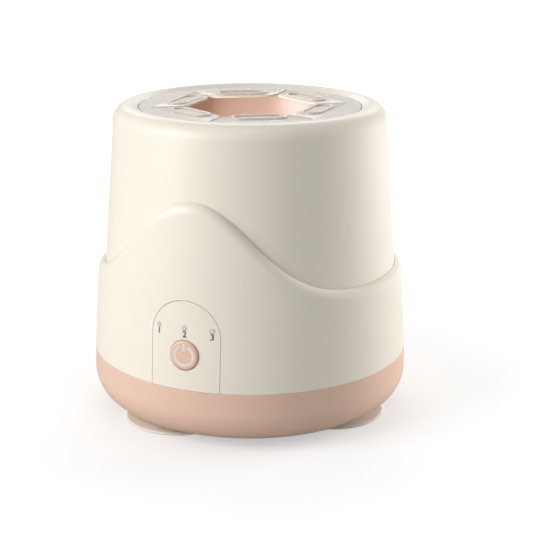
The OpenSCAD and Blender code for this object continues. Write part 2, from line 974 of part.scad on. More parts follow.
// Half of a tooth's angle at radius r
function tooth_half(teeth, r) =
  let (pitch = gear_m * teeth / 2, base = pitch * cos(gear_angle))
    90 / teeth - gear_play / 4 / pitch * 180 / PI + inv(gear_angle) - inv(acos(min(1, base / r)));

// One side of a tooth as [radius, half angle], from root to tip
function flank(teeth) =
  let (pitch = gear_m * teeth / 2, base = pitch * cos(gear_angle),
       root = pitch - 1.25 * gear_m, tip = pitch + gear_m * 0.95, low = max(root, base))
    concat(root < base ? [[root, tooth_half(teeth, base)]] : [],
           [for (k = [0:4]) let (r = low + (tip - low) * k / 4) [r, tooth_half(teeth, r)]]);

// Spur gear in the flat, one tooth on +X
module gear_shape(teeth) {
  side = flank(teeth);
  n = len(side);
  polygon([for (i = [0:teeth - 1])
             each concat([for (k = [0:n - 1])
                            let (a = 360 * i / teeth - side[k][1])
                              side[k][0] * [cos(a), sin(a)]],
                         [for (k = [n - 1:-1:0])
                            let (a = 360 * i / teeth + side[k][1])
                              side[k][0] * [cos(a), sin(a)]])]);
}

module pinion() {
  color(brass)
  translate([drive_x, 0, pinion_z])
    difference() {
      rotate([0, 0, 180 + 180 / pinion_teeth])
        linear_extrude(pinion_len)
          gear_shape(pinion_teeth);
      translate([0, 0, -over])
        cylinder(r = shaft_r, h = pinion_len + 2 * over);
    }
}

module drive_gear() {
  web = 1.2;
  rim = gear_pitch_r - 4;
  color([0.90, 0.88, 0.82])
  translate([0, 0, gear_z])
    difference() {
      union() {
        linear_extrude(gear_t)
          gear_shape(gear_teeth);
        translate([0, 0, gear_t - sink])
          cylinder(r = drive_flat / cos(30), h = drive_h + sink, $fn = 6);
      }
      translate([0, 0, -over])
        cylinder(r = spindle_r, h = gear_t + drive_h + 2 * over);
      for (z = [-over, gear_t - web])
        translate([0, 0, z])
          ring(rim, hub_r - 1, web + over);
      for (turn = [0:60:300])
        rotate([0, 0, turn])
          translate([(rim + hub_r - 1) / 2, 0, -over])
            cylinder(r = 3, h = gear_t + 2 * over);
    }
}

module spindle() {
  color(steel)
  difference() {
    translate([0, 0, spindle_z])
      cylinder(r = spindle_r, h = spindle_top - spindle_z);
    translate([0, 0, clip_z - 0.05])
      ring(spindle_r + over, spindle_r - 0.6, clip_t + 0.1);
    translate([0, 0, spindle_top - 9])
      cylinder(r = screw_r + screw_gap, h = 9 + over);
  }
}

module retaining_clip() {
  color(steel)
  translate([0, 0, clip_z])
    difference() {
      ring(bush_r, spindle_r - 0.55, clip_t);
      translate([0, -1.6, -over])
        cube([bush_r + over, 3.2, clip_t + 2 * over]);
    }
}

module thrust_washer() {
  color(white)
  translate([0, 0, chassis_top + bush_flange])
    ring(bush_r + 1.5, spindle_r + 0.02, washer_t);
}

// Flanged bush, flange on top
module bush() {
  difference() {
    union() {
      cylinder(r = bush_r + 2, h = bush_flange);
      translate([0, 0, -bush_len])
        cylinder(r = bush_r, h = bush_len + bush_flange / 2);
    }
    translate([0, 0, -bush_len - over])
      cylinder(r = spindle_r + spindle_play, h = bush_len + bush_flange + 2 * over);
  }
}

module upper_bush() {
  color(brass)
  translate([0, 0, chassis_top])
    bush();
}

module lower_bush() {
  color(brass)
  translate([0, 0, column_z])
    rotate([180, 0, 0])
      bush();
}

// Half section of the cup, drawn in from the outside by a wall
module cup_section(inset) {
  low = cup_z + inset;
  tip = cup_round - inset;
  wall_r = cup_r - 0.8 - inset - (grip_z - cup_z) * tan(cup_draft);
  top_r = wall_r + (grip_z - cup_z) * tan(cup_draft);
  translate([wall_r - tip, low + tip])
    circle(r = tip);
  translate([0, low])
    square([wall_r - tip, tip + over]);
  polygon([[0, low + tip], [wall_r, low + tip], [top_r, grip_z], [top_r, grip_z + (inset > 0 ? over : 0)],
           [0, grip_z + (inset > 0 ? over : 0)]]);
}

module cup() {
  color(peach)
  difference() {
    union() {
      rotate_extrude()
        difference() {
          union() {
            cup_section(0);
            translate([0, grip_z - grip_band])
              square([cup_r, grip_band]);
          }
          cup_section(cup_wall);
        }
      translate([0, 0, hub_z])
        cylinder(r = hub_r, h = hub_h + sink);
      for (turn = [0:60:300])
        rotate([0, 0, turn])
          translate([hub_r - 1, -1, hub_z])
            cube([gear_pitch_r - 3 - hub_r, 2, hub_h + sink]);
    }
    translate([0, 0, hub_z - over])
      cylinder(r = (drive_flat + drive_gap) / cos(30), h = spindle_top - hub_z + over, $fn = 6);
    cylinder(r = screw_r + screw_gap, h = cup_floor + over);
  }
}

module cup_screw() {
  color(steel)
  translate([0, 0, cup_floor])
    rotate([180, 0, 0])
      screw(screw_r, cup_floor - spindle_top + 7, head_r, 1.8);
}

module cup_pad() {
  color(silicone)
  translate([0, 0, cup_floor])
    difference() {
      cylinder(r = pad_r, h = pad_t);
      translate([0, 0, -over])
        cylinder(r = head_r + 0.4, h = 2.1 + over);
      for (share = [0.36, 0.6, 0.84])
        translate([0, 0, pad_t - 0.6])
          ring(pad_r * share + 0.8, pad_r * share - 0.8, 0.6 + over);
    }
}

// Hollow for a flap's root, seen along the bending line: round, and straight down below it
module root_hollow() {
  room = grip_t / 2 + root_gap;
  circle(r = room);
  translate([-over, -room])
    square([over + room, room]);
}

// Ring of the gripper: a plate with a six-sided opening and a band that grips the cup's rim
module gripper_ring() {
  color(silicone)
  difference() {
    union() {
      translate([0, 0, grip_z])
        cylinder(r = grip_r, h = grip_t);
      translate([0, 0, grip_z - grip_band + 0.5])
        ring(grip_r, cup_r, grip_band - 0.5 + sink);
    }
    translate([0, 0, grip_z - over])
      rotate([0, 0, 30])
        cylinder(r = root_flat / cos(30), h = grip_t + 2 * over, $fn = 6);
    for (turn = [0:60:300])
      rotate([0, 0, turn])
        translate([root_flat, root_flat * tan(30) + over, grip_z + grip_t / 2])
          rotate([90, 0, 0])
            linear_extrude(2 * root_flat * tan(30) + 2 * over)
              root_hollow();
  }
}

// Flap in the flat, its tip towards x = 0, its bending line on x = root_flat
module flap_shape() {
  corner_x = hole_flat + flap_corner;
  corner_y = corner_x * tan(30) - slit_edge - flap_corner / cos(30);
  side_x = corner_x - flap_corner * sin(30);
  side_y = corner_y + flap_corner * cos(30);
  polygon([[hole_flat, -corner_y], [side_x, -side_y], [root_flat - root_trim, -root_half],
           [root_flat + grip_t, -root_half], [root_flat + grip_t, root_half],
           [root_flat - root_trim, root_half], [side_x, side_y], [hole_flat, corner_y]]);
  for (side = [-1, 1])
    translate([corner_x, side * corner_y])
      circle(r = flap_corner);
}

// Flap seen along its root, which is rounded about the bending line
module flap_side() {
  square([root_flat, grip_t]);
  translate([root_flat, grip_t / 2])
    circle(r = grip_t / 2);
}

// Raised oblong bead on a flap, round in section
module flap_bead() {
  turn_r = bead_w / 2 - bead_r;
  reach = bead_l / 2 - bead_w / 2;
  for (side = [0, 1])
    rotate([0, 0, 180 * side]) {
      translate([0, reach, 0])
        rotate_extrude(angle = 180)
          translate([turn_r, 0])
            circle(r = bead_r, $fn = 32);
      translate([turn_r, reach, 0])
        rotate([90, 0, 0])
          cylinder(r = bead_r, h = 2 * reach, $fn = 32);
    }
}

// One of the six flaps; number 0 is centred 30 degrees round from the front
module flap(i) {
  color(silicone)
  rotate([0, 0, 60 * i - 60])
    translate([0, 0, grip_z]) {
      intersection() {
        linear_extrude(grip_t)
          flap_shape();
        translate([0, base_r, 0])
          rotate([90, 0, 0])
            linear_extrude(base_d)
              flap_side();
      }
      translate([bead_place, 0, grip_t])
        flap_bead();
    }
}

module flap_1() flap(0);
module flap_2() flap(1);
module flap_3() flap(2);
module flap_4() flap(3);
module flap_5() flap(4);
module flap_6() flap(5);

base_tray();
skirt();
upper_shell();
control_panel();
power_button();
power_symbol();
indicator_lenses();
indicator_leds();
control_board();
board_screws();
tact_switch();
switch_plunger();
charge_board();
charge_screws();
charge_socket();
socket_tongue();
battery();
battery_holder();
battery_contacts();
chassis();
chassis_grommets();
chassis_screws();
motor_can();
motor_end_cap();
motor_screws();
motor_shaft();
pinion();
drive_gear();
spindle();
retaining_clip();
thrust_washer();
upper_bush();
lower_bush();
cup();
cup_pad();
cup_screw();
gripper_ring();
flap_1();
flap_2();
flap_3();
flap_4();
flap_5();
flap_6();
suction_foot_1();
suction_foot_2();
suction_foot_3();
suction_foot_4();
case_screws();
motor_leads();
battery_leads();
link_leads();
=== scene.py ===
import math

import bmesh
import bpy
from mathutils import Matrix, Vector


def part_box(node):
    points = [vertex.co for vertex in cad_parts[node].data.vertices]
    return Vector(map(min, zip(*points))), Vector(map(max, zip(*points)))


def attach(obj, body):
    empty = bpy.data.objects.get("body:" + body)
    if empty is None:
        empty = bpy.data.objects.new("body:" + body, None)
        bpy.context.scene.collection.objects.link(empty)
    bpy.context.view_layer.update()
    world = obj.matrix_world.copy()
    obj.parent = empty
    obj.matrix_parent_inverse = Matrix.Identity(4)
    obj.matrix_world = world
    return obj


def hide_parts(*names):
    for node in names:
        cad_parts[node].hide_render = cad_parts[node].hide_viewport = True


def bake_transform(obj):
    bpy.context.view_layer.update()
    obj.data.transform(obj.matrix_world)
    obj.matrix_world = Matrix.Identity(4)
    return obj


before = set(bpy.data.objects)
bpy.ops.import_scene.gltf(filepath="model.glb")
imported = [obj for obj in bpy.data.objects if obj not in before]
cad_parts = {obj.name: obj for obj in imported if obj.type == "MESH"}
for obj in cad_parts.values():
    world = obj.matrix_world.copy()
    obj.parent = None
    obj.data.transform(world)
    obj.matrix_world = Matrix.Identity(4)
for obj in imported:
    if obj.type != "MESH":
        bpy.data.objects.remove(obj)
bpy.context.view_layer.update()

scene = bpy.context.scene

# ---------------------------------------------------------------- sizes
# Shapes are worked out in millimetres in the part's own frame (table z = 0, spin axis x = y = 0,
# panel towards -Y) and scaled to metres when a piece is made. What the frame holds is read from it.
MM = 0.001
LOW, HIGH = 0, 1
X, Y, Z = 0, 1, 2

# Points nearer than MERGE are one point; NEAR is the slack when points are picked by their place.
MERGE = 1e-4
NEAR = 0.01
# Usual roundings of edges.
HAIR, FINE, SOFT, BROAD = 0.1, 0.2, 0.3, 0.4
# Largest turn of one step along a rounded corner, and along a large one.
CORNER_STEP, SWEEP_STEP = math.radians(7.5), math.radians(4)
# Steps of a whole turn.
SHELL_STEPS, SILICONE_STEPS, FOOT_STEPS, BUTTON_STEPS = 360, 192, 128, 96
SYMBOL_STEPS, POST_STEPS, LENS_STEPS, HOLE_STEPS = 72, 64, 48, 32
# Degrees between two faces: a sharp edge gets a rounding, and a crease stays crisp in the shading.
SHARP, CREASE, SHELL_CREASE = 50, 32, 25
# Reach from the axis of what cuts the front wall and the back wall, and reach past a floor.
FRONT_CUT, BACK_CUT, PAST = (40, 70), (-70, -45), 5


def edge(node, side, axis):
    """One side of a CAD node's box, in millimetres."""
    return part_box(node)[side][axis] / MM


def middle(node, axis):
    """Middle of a CAD node's box, in millimetres."""
    return (edge(node, LOW, axis) + edge(node, HIGH, axis)) / 2


# Base tray, with its floor.
BASE_R = edge("base_tray", HIGH, X)
BASE_LOW = edge("base_tray", LOW, Z)
BASE_ROUND = 13.0
BASE_WALL = 2.4
FLOOR_Z = BASE_LOW + BASE_WALL

# Seam and skirt, with the wave of its rim.
SEAM_Z = edge("skirt", LOW, Z)
SEAM_R = edge("skirt", HIGH, X)
SEAM_SOFT = 0.3
SKIRT_LEAN = math.tan(math.radians(3.7))
SKIRT_SOFT = 0.15
RIM_LOW = 58.8
RIM_RISE = edge("skirt", HIGH, Z) - RIM_LOW
RIM_SPREAD = math.radians(32.5)
RIM_POWER = 2.2
RIM_FALL = 4.4
RIM_STEP = 2.75
RIM_STEPS = 12
SHELL_GAP = 0.15
# An edge this near the outside lies on it; edges of the arch are lower than ARCH_CLEAR.
ON_FACE = 0.06
ARCH_CLEAR = 62

# Upper shell, with the sloping band and the lip of its mouth.
UPPER_LEAN = math.tan(math.radians(4.4))
UPPER_WALL = 2.2
TOP_Z = edge("upper_shell", HIGH, Z)
TOP_ROUND = 6.1
TOP_INSIDE_ROUND = 3
SPIN_GAP = 0.2
MOUTH_R = edge("gripper_ring", HIGH, X) + SPIN_GAP
MOUTH_BEVEL = 2.45
MOUTH_DROP = 1.3
BAND_TOP_SOFT, BAND_LOW_SOFT = 0.5, 0.15
LIP_T = 2.2
LIP_H = 3
WINDOW_MARGIN = 1.2
WINDOW_SILL = 3

# Control panel, button, power symbol, indicators and their numbers.
ARCH_GAP = 0.2
ARCH_HALF = edge("control_panel", HIGH, X) + ARCH_GAP
ARCH_TOP = edge("control_panel", HIGH, Z) + ARCH_GAP
PANEL_BACK = 0.1
PANEL_SOFT = 0.12
BUTTON_Z = middle("power_button", Z)
BUTTON_R = 5.75
BUTTON_GAP = 0.2
BUTTON_FACE = -edge("power_button", LOW, Y)
BUTTON_STEM = -edge("power_button", HIGH, Y)
BUTTON_ROUND = 1.0
STEM_R = 2
FLANGE_R = BUTTON_R + 1.2
FLANGE_T = 1
FLANGE_GAP = 0.35
SYMBOL_R = 3.7
SYMBOL_W = 1.1
SYMBOL_OPEN = 1.6
SYMBOL_REACH = SYMBOL_R + 1
INLAY_GAP = 0.02
INLAY_T = 0.34
INLAY_BED, INLAY_OVER = 0.35, 1
LENS_Z = middle("indicator_lenses", Z)
LENS_R = 0.9
LENS_GAP = 0.1
LENS_PROUD = 0.08
LENS_ROUND = 0.25
LENS_PITCH = edge("indicator_lenses", HIGH, X) - LENS_R
LENS_X = [side * LENS_PITCH for side in (-1, 0, 1)]
LENS_BACK = -edge("indicator_lenses", HIGH, Y)
LABEL_Z = 45.3
LABEL_H = 2.3
LABEL_BOLD = 0.06
LABEL_T = 0.06
DIGIT_SHARE = 0.7

# Charging inlet.
SOCKET_Z = middle("charge_socket", Z)
PORT_HALF = edge("charge_socket", HIGH, X) + 0.6
PORT_R = 2.23

# Gripper: ring, slits, flaps and beads. HALF_FLAP is half the turn that one flap takes up.
GRIP_R = edge("gripper_ring", HIGH, X)
GRIP_TOP = edge("gripper_ring", HIGH, Z)
GRIP_LOW = edge("gripper_ring", LOW, Z)
GRIP_Z = edge("flap_1", LOW, Z)
HALF_FLAP = math.radians(30)
SLIT_R = GRIP_R - 5.0
SLIT_W = 1.0
ROOT_FLAT = SLIT_R * math.cos(HALF_FLAP)
HOLE_FLAT = edge("flap_2", LOW, X)
FLAP_CORNER = 6.0
BEND = 1.0
BEND_ROWS = 6
BEAD_L = 21.5
BEAD_W = 8.6
BEAD_R = 0.7
BEAD_EDGE = 1
BEAD_SINK = 0.3
BEAD_PLACE = ROOT_FLAT - BEAD_EDGE - BEAD_W / 2
BOW_STEPS, BEAD_STEPS = 8, 24

# Cup and its pad: grooves as shares of its radius, and the well over the head of the cup's screw.
CUP_R = 42.2
PAD_R = edge("cup_pad", HIGH, X)
PAD_LOW = edge("cup_pad", LOW, Z)
PAD_TOP = edge("cup_pad", HIGH, Z)
PAD_ROUND = 0.8
PAD_WELL_R, PAD_WELL_TOP = 3.2, PAD_LOW + 2.1
GROOVES = (0.84, 0.6, 0.36)
GROOVE_TOP, GROOVE_FLOOR, GROOVE_DEPTH, GROOVE_ROUND = 0.9, 0.7, 0.6, 0.25

# Screw posts of the tray, bosses of the upper shell above them, and wells for the screws' heads.
POST_R = BASE_R - 11.5
POST_TURN = 28.3
POST_RAD = 4.8
POST_SINK = 0.4
BOSS_RAD = 4
BOSS_H = 12
WELL_RAD = 3.2
WELL_ROOF = 9.8
SCREW_RAD = 1.55
SCREW_REACH = 10

# Suction feet.
FEET = []
for foot in (1, 2, 3, 4):
    low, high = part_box(f"suction_foot_{foot}")
    FEET.append((low + high) / 2 / MM)
FOOT_R = edge("suction_foot_1", HIGH, X) - FEET[0].x
FOOT_HOLE, FOOT_HOLE_OVER = 4.5, 2
FOOT_ROOF = 0.9
FOOT_LIP, FOOT_LIP_H, FOOT_LIP_ROUND = 1.6, 0.9, 0.25
FOOT_FLARE, FOOT_FLARE_DROP, FOOT_FLARE_ROUND = 8.6, 0.2, 1.5
FOOT_COLLAR, FOOT_STEM = 8, 4.4
FOOT_HEAD, FOOT_HEAD_H = 6.4, 0.8
FOOT_TIP, FOOT_TIP_H, FOOT_TIP_ROUND = 4.6, 2.6, 0.6
HOLLOW_STEPS = 12

# Pillars of the tray, and the chassis that rubber grommets hold on them. The motor's collar
# stands higher than the underside of the chassis.
PILLAR_PLACE = BASE_R - 17.4
PILLAR_TURNS = [math.radians(turn) for turn in (49.4, 192.8, 335.6)]
PILLARS = [(PILLAR_PLACE * math.cos(turn), PILLAR_PLACE * math.sin(turn)) for turn in PILLAR_TURNS]
PILLAR_RAD = 4
PILLAR_HOLE = 9
MOTOR_COLLAR = 1.8
CHASSIS_LOW = edge("motor_can", HIGH, Z) - MOTOR_COLLAR
CHASSIS_T = 2.6
GROMMET_T = 1.2
GROMMET_RAD, GROMMET_WAIST = 6.4, 4.2

# Leads: points of the CAD mesh to merge, and how far apart two triangles of one side may lean.
LEAD_MERGE = 0.01
LEAD_JOIN = 0.7


def skirt_r(z):
    """Outside radius of the skirt at a height."""
    return SEAM_R - (z - SEAM_Z) * SKIRT_LEAN


def upper_r(z):
    """Outside radius of the upper shell at a height."""
    return skirt_r(RIM_LOW) - RIM_STEP - (z - RIM_LOW) * UPPER_LEAN


def face_r(z, x):
    """Reach towards -Y of the skirt's outside at a height and a distance from the middle."""
    return math.sqrt(skirt_r(z) ** 2 - x ** 2)


def crest(angle):
    """Height of the skirt's wave at an angle from the front."""
    return RIM_LOW + RIM_RISE * math.exp(-((abs(angle) / RIM_SPREAD) ** RIM_POWER))


def crest_slope(angle):
    """Steepness of the wave at an angle from the front, measured round the skirt."""
    bell = (abs(angle) / RIM_SPREAD) ** (RIM_POWER - 1)
    return RIM_POWER / RIM_SPREAD * bell * (crest(angle) - RIM_LOW) / skirt_r(RIM_LOW)


def place(degrees, radius, z):
    """Point at an angle from the front, growing towards +X."""
    turn = math.radians(degrees)
    return Vector((radius * math.sin(turn), -radius * math.cos(turn), z))


# ---------------------------------------------------------------- shaping
def rounded(corners, step=CORNER_STEP):
    """Outline in two axes.

    A corner is (x, y) or (x, y, radius); a radius gives an arc that is tangent to both sides.
    """
    points = []
    for i, corner in enumerate(corners):
        here = Vector(corner[:2])
        found = [here]
        if len(corner) == 3:
            radius = corner[2]
            back = (Vector(corners[i - 1][:2]) - here).normalized()
            ahead = (Vector(corners[(i + 1) % len(corners)][:2]) - here).normalized()
            half = back.angle(ahead) / 2
            centre = here + (back + ahead).normalized() * radius / math.sin(half)
            start = here + back * radius / math.tan(half) - centre
            end = here + ahead * radius / math.tan(half) - centre
            turn = math.atan2(start.x * end.y - start.y * end.x, start.dot(end))
            count = max(2, math.ceil(abs(turn) / step))
            found = [centre + Matrix.Rotation(turn * k / count, 2) @ start
                     for k in range(count + 1)]
        points += [p for p in found if not points or (p - points[-1]).length > MERGE]
    return points


def arch(margin, low):
    """Outline of the panel's arch, drawn in by a margin."""
    half, top = ARCH_HALF - margin, ARCH_TOP - margin
    return rounded([(-half, low), (half, low), (half, top, half), (-half, top, half)], SWEEP_STEP)


def stadium(half, radius):
    """Outline of a slot with round ends."""
    return rounded([(-half, -radius, radius), (half, -radius, radius),
                    (half, radius, radius), (-half, radius, radius)])


def sealed(bm):
    """Merges doubled points, closes open ends and turns the faces outwards."""
    bmesh.ops.remove_doubles(bm, verts=bm.verts[:], dist=MERGE)
    rims = [e for e in bm.edges if e.is_boundary]
    if rims:
        bmesh.ops.holes_fill(bm, edges=rims)
    bmesh.ops.recalc_face_normals(bm, faces=bm.faces[:])
    return bm


def spun(outline, steps, closed=True, angle=2 * math.pi):
    """Solid of revolution about Z from an outline of (radius, height)."""
    bm = bmesh.new()
    line = [bm.verts.new((p[0], 0, p[1])) for p in outline]
    pairs = list(zip(line, line[1:])) + ([(line[-1], line[0])] if closed else [])
    geom = line + [bm.edges.new(pair) for pair in pairs]
    full = math.isclose(angle, 2 * math.pi)
    bmesh.ops.spin(bm, geom=geom, axis=(0, 0, 1), angle=angle, steps=steps, use_merge=full)
    return sealed(bm)


def points_of(geom):
    """The points among some geometry."""
    return [g for g in geom if isinstance(g, bmesh.types.BMVert)]


def edges_of(geom):
    """The edges among some geometry."""
    return [g for g in geom if isinstance(g, bmesh.types.BMEdge)]


def plate(outline, low, high):
    """Flat outline of (x, y) raised from one height to another."""
    bm = bmesh.new()
    face = bm.faces.new([bm.verts.new((p[0], p[1], low)) for p in outline])
    made = bmesh.ops.extrude_face_region(bm, geom=[face])["geom"]
    bmesh.ops.translate(bm, vec=(0, 0, high - low), verts=points_of(made))
    return sealed(bm)


def rod(radius, start, end, segments=POST_STEPS):
    """Cylinder between two points."""
    bm = bmesh.new()
    start, end = Vector(start), Vector(end)
    turn = (end - start).to_track_quat("Z", "Y").to_matrix().to_4x4()
    bmesh.ops.create_cone(bm, cap_ends=True, segments=segments, radius1=radius, radius2=radius,
                          depth=(end - start).length,
                          matrix=Matrix.Translation((start + end) / 2) @ turn)
    return bm


def at_posts(radius, low, high, segments=POST_STEPS):
    """Four upright rods, one at each screw post."""
    turns = [POST_TURN + 90 * i for i in range(4)]
    return [rod(radius, place(turn, POST_R, low), place(turn, POST_R, high), segments)
            for turn in turns]


def at_pillars(radius, low, high, segments=POST_STEPS):
    """Three upright rods, one at each pillar."""
    return [rod(radius, (x, y, low), (x, y, high), segments) for x, y in PILLARS]


def front_rod(radius, x, z, segments):
    """Rod through the front wall, to cut a hole with."""
    near, far = FRONT_CUT
    return rod(radius, (x, -far, z), (x, -near, z), segments)


def moved(bm, matrix):
    """The shape after a turn or shift."""
    bmesh.ops.transform(bm, matrix=matrix, verts=bm.verts[:])
    return bm


def to_front(bm, z=0.0):
    """Shape drawn about Z laid on the front: its height becomes the reach towards -Y."""
    return moved(bm, Matrix.Translation((0, 0, z)) @ Matrix.Rotation(math.pi / 2, 4, "X"))


def front_block(outline):
    """Block through the front wall with an outline of (x, z)."""
    return to_front(plate(outline, *FRONT_CUT))


def port():
    """Block through the back wall for the charging inlet."""
    return to_front(plate(stadium(PORT_HALF, PORT_R), *BACK_CUT), SOCKET_Z)


def as_mesh(name, bm):
    """Mesh of a shape, which is freed."""
    mesh = bpy.data.meshes.new(name)
    bm.to_mesh(mesh)
    bm.free()
    return mesh


def as_object(name, data):
    """Object in the scene."""
    obj = bpy.data.objects.new(name, data)
    scene.collection.objects.link(obj)
    return obj


def evaluated(obj):
    """Shape of an object as its modifiers or its curve give it."""
    bpy.context.view_layer.update()
    bm = bmesh.new()
    bm.from_mesh(obj.evaluated_get(bpy.context.evaluated_depsgraph_get()).to_mesh())
    return bm


def gathered(*shapes):
    """Several shapes in one, each still its own island."""
    whole = bmesh.new()
    for bm in shapes:
        mesh = as_mesh("work", bm)
        whole.from_mesh(mesh)
        bpy.data.meshes.remove(mesh)
    return whole


def carved(bm, tool, how="DIFFERENCE"):
    """The first solid with the second taken away, added or kept in common."""
    solids = [as_object("work", as_mesh("work", shape)) for shape in (bm, tool)]
    cut = solids[0].modifiers.new("cut", "BOOLEAN")
    cut.operation, cut.solver, cut.object = how, "EXACT", solids[1]
    result = evaluated(solids[0])
    for solid in solids:
        mesh = solid.data
        bpy.data.objects.remove(solid)
        bpy.data.meshes.remove(mesh)
    bmesh.ops.remove_doubles(result, verts=result.verts[:], dist=MERGE)
    return result


def fold(line):
    """Degrees between the two faces at an edge."""
    return math.degrees(line.calc_face_angle(0))


def softened(bm, width, where, segments=2):
    """Rounds the sharp edges that a test on their middle picks."""
    picked = [e for e in bm.edges if e.is_manifold and fold(e) > SHARP
              and where((e.verts[0].co + e.verts[1].co) / 2)]
    bmesh.ops.bevel(bm, geom=picked, offset=width, offset_type="OFFSET", affect="EDGES",
                    segments=segments, profile=0.5, material=-1, clamp_overlap=True)
    return bm


def on_face(point):
    """Whether a point lies on the outside of the skirt or the panel."""
    return math.hypot(point.x, point.y) > skirt_r(point.z) - ON_FACE


def piece(name, bm, coat, body="housing", stands_for=(), bends=None, crease=CREASE):
    """Makes the object: metres, shading that the broad faces rule, finish and body."""
    bmesh.ops.scale(bm, vec=(MM, MM, MM), verts=bm.verts[:])
    bmesh.ops.recalc_face_normals(bm, faces=bm.faces[:])
    for face in bm.faces:
        face.smooth = True
    for line in bm.edges:
        line.smooth = line.is_manifold and fold(line) < crease
    mesh = as_mesh(name, bm)
    mesh.materials.append(coat)
    obj = as_object(name, mesh)
    if bends:
        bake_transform(obj)
    else:
        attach(obj, body)
        obj.modifiers.new("even", "WEIGHTED_NORMAL").keep_sharp = True
    if stands_for:
        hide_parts(*stands_for)
    return obj


# ---------------------------------------------------------------- finishes
def srgb(code):
    """Linear colour of an sRGB hex code."""
    parts = [int(code[i:i + 2], 16) / 255 for i in (1, 3, 5)]
    return [c / 12.92 if c <= 0.04045 else ((c + 0.055) / 1.055) ** 2.4 for c in parts] + [1.0]


def per(mm):
    """Texture scale for a pattern that repeats about every so many millimetres."""
    return 1 / (mm * MM)


def add(tree, kind, inputs, **settings):
    """Adds a shader node with its settings; an input is a value or another node's socket."""
    node = tree.nodes.new("ShaderNode" + kind)
    for key, value in settings.items():
        setattr(node, key, value)
    for key, value in inputs.items():
        if isinstance(value, bpy.types.NodeSocket):
            tree.links.new(value, node.inputs[key])
        else:
            node.inputs[key].default_value = value
    return node


def finish(name, colour, other, rough, patch, grain, depth, stretch=(1, 1, 1), **shader):
    """Surface of one material: colour that drifts in patches, uneven roughness and a fine grain.

    rough is (least, most), patch and grain are sizes in millimetres, depth is the grain's height
    in millimetres, stretch scales the grain along the axes, shader holds further inputs.
    """
    made = bpy.data.materials.new(name)
    made.use_nodes = True
    tree = made.node_tree
    tree.nodes.clear()
    where = add(tree, "TexCoord", {}).outputs["Object"]
    drift = add(tree, "TexNoise", {"Vector": where, "Scale": per(patch),
                                   "Detail": 3.0}).outputs["Fac"]
    tint = add(tree, "Mix", {"Factor": drift, "A": srgb(colour), "B": srgb(other)},
               data_type="RGBA")
    # Most of the noise lies between 0.3 and 0.7.
    gloss = add(tree, "MapRange", {"Value": drift, "From Min": 0.3, "From Max": 0.7,
                                   "To Min": rough[0], "To Max": rough[1]})
    along = add(tree, "Mapping", {"Vector": where, "Scale": stretch})
    fine = add(tree, "TexNoise", {"Vector": along.outputs["Vector"], "Scale": per(grain),
                                  "Detail": 2.0})
    relief = add(tree, "Bump", {"Height": fine.outputs["Fac"], "Distance": depth * MM,
                                "Strength": 1.0})
    skin = add(tree, "BsdfPrincipled", {"Base Color": tint.outputs["Result"],
                                        "Roughness": gloss.outputs["Result"],
                                        "Normal": relief.outputs["Normal"], **shader})
    add(tree, "OutputMaterial", {"Surface": skin.outputs["BSDF"]})
    return made


def depth_of_light(weight, *radius):
    """Inputs for light that sinks in, with its reach in millimetres for red, green and blue."""
    return {"Subsurface Weight": weight, "Subsurface Radius": radius, "Subsurface Scale": MM}


# ABS from a spark-eroded mould: broad soft highlights and a hint of unevenness. The grain is
# drawn coarser than the real 0.06 mm, so that it shows.
CREAM = finish("abs_cream_spark_eroded_satin", "#EBE4D7", "#E8E1D3", (0.34, 0.4), 18, 0.3, 0.004)
PEACH = finish("abs_peach_spark_eroded_satin", "#E3C1AD", "#DFBCA7", (0.34, 0.4), 18, 0.3, 0.004)
# ABS from a polished mould: tighter highlights. Its colour is the base's peach painted paler and
# less saturated: painted light that offsets the deep, saturated shade that light bouncing inside
# the cup gives.
CUP_PAINTED_PALE = finish("abs_peach_polished_painted_pale", "#E4C9B9", "#E0C4B3", (0.25, 0.32), 18, 0.3, 0.002)
# Silicone pressed in a satin tool: warm grey, a little light sinks in, crisp lights on the beads.
GRIP = finish("silicone_milky_satin_pressed", "#D5CCC2", "#D2C9BE", (0.26, 0.29), 14, 0.4, 0.0003,
              **depth_of_light(0.5, 0.9, 0.8, 0.7))
# Silicone pressed in a glossy tool: pale, and light sinks in deeply, so thin lips look soft.
FOOT = finish("silicone_milky_gloss_pressed", "#EFE6DA", "#EADFD1", (0.25, 0.33), 9, 0.5, 0.003,
              **depth_of_light(0.5, 3.0, 2.4, 2.0))
# Frosted acrylic of the light inlay: pale and slightly lit from within its depth.
INLAY = finish("acrylic_white_frosted", "#EDE0D9", "#E8DAD2", (0.3, 0.36), 3, 0.2, 0.002,
               **depth_of_light(0.3, 1.0, 1.0, 1.0))
# Frosted acrylic of an unlit indicator: grey with a small clear highlight.
LENS = finish("acrylic_grey_frosted", "#D8D1C5", "#D0C9BC", (0.2, 0.28), 2, 0.2, 0.002)
# Pad-printed ink: flat dark grey with thin spots.
INK = finish("ink_grey_pad_printed", "#3A3735", "#494542", (0.45, 0.6), 0.8, 0.15, 0.002)
# Glass-filled nylon: near black with faint flow streaks.
NYLON = finish("nylon_black_glass_filled", "#242425", "#2E2E30", (0.42, 0.58), 6, 0.35, 0.012,
               (1, 1, 0.3))
# Moulded acetal: waxy off-white that glows a little at the teeth.
ACETAL = finish("acetal_natural_moulded", "#ECE8DC", "#E5E0D2", (0.28, 0.36), 8, 0.3, 0.002,
                **depth_of_light(0.2, 1.0, 0.9, 0.8))
# Drawn steel with zinc plating: cool grey metal with streaks along its height.
STEEL = finish("steel_zinc_plated_drawn", "#C4C6CA", "#B4B7BC", (0.22, 0.38), 2.5, 0.25, 0.004,
               (1, 1, 0.08), Metallic=1.0)
# Turned brass: fine rings from the tool.
BRASS = finish("brass_turned", "#D2A95C", "#C4994C", (0.2, 0.34), 2, 0.12, 0.004, (0.1, 0.1, 1),
               Metallic=1.0)
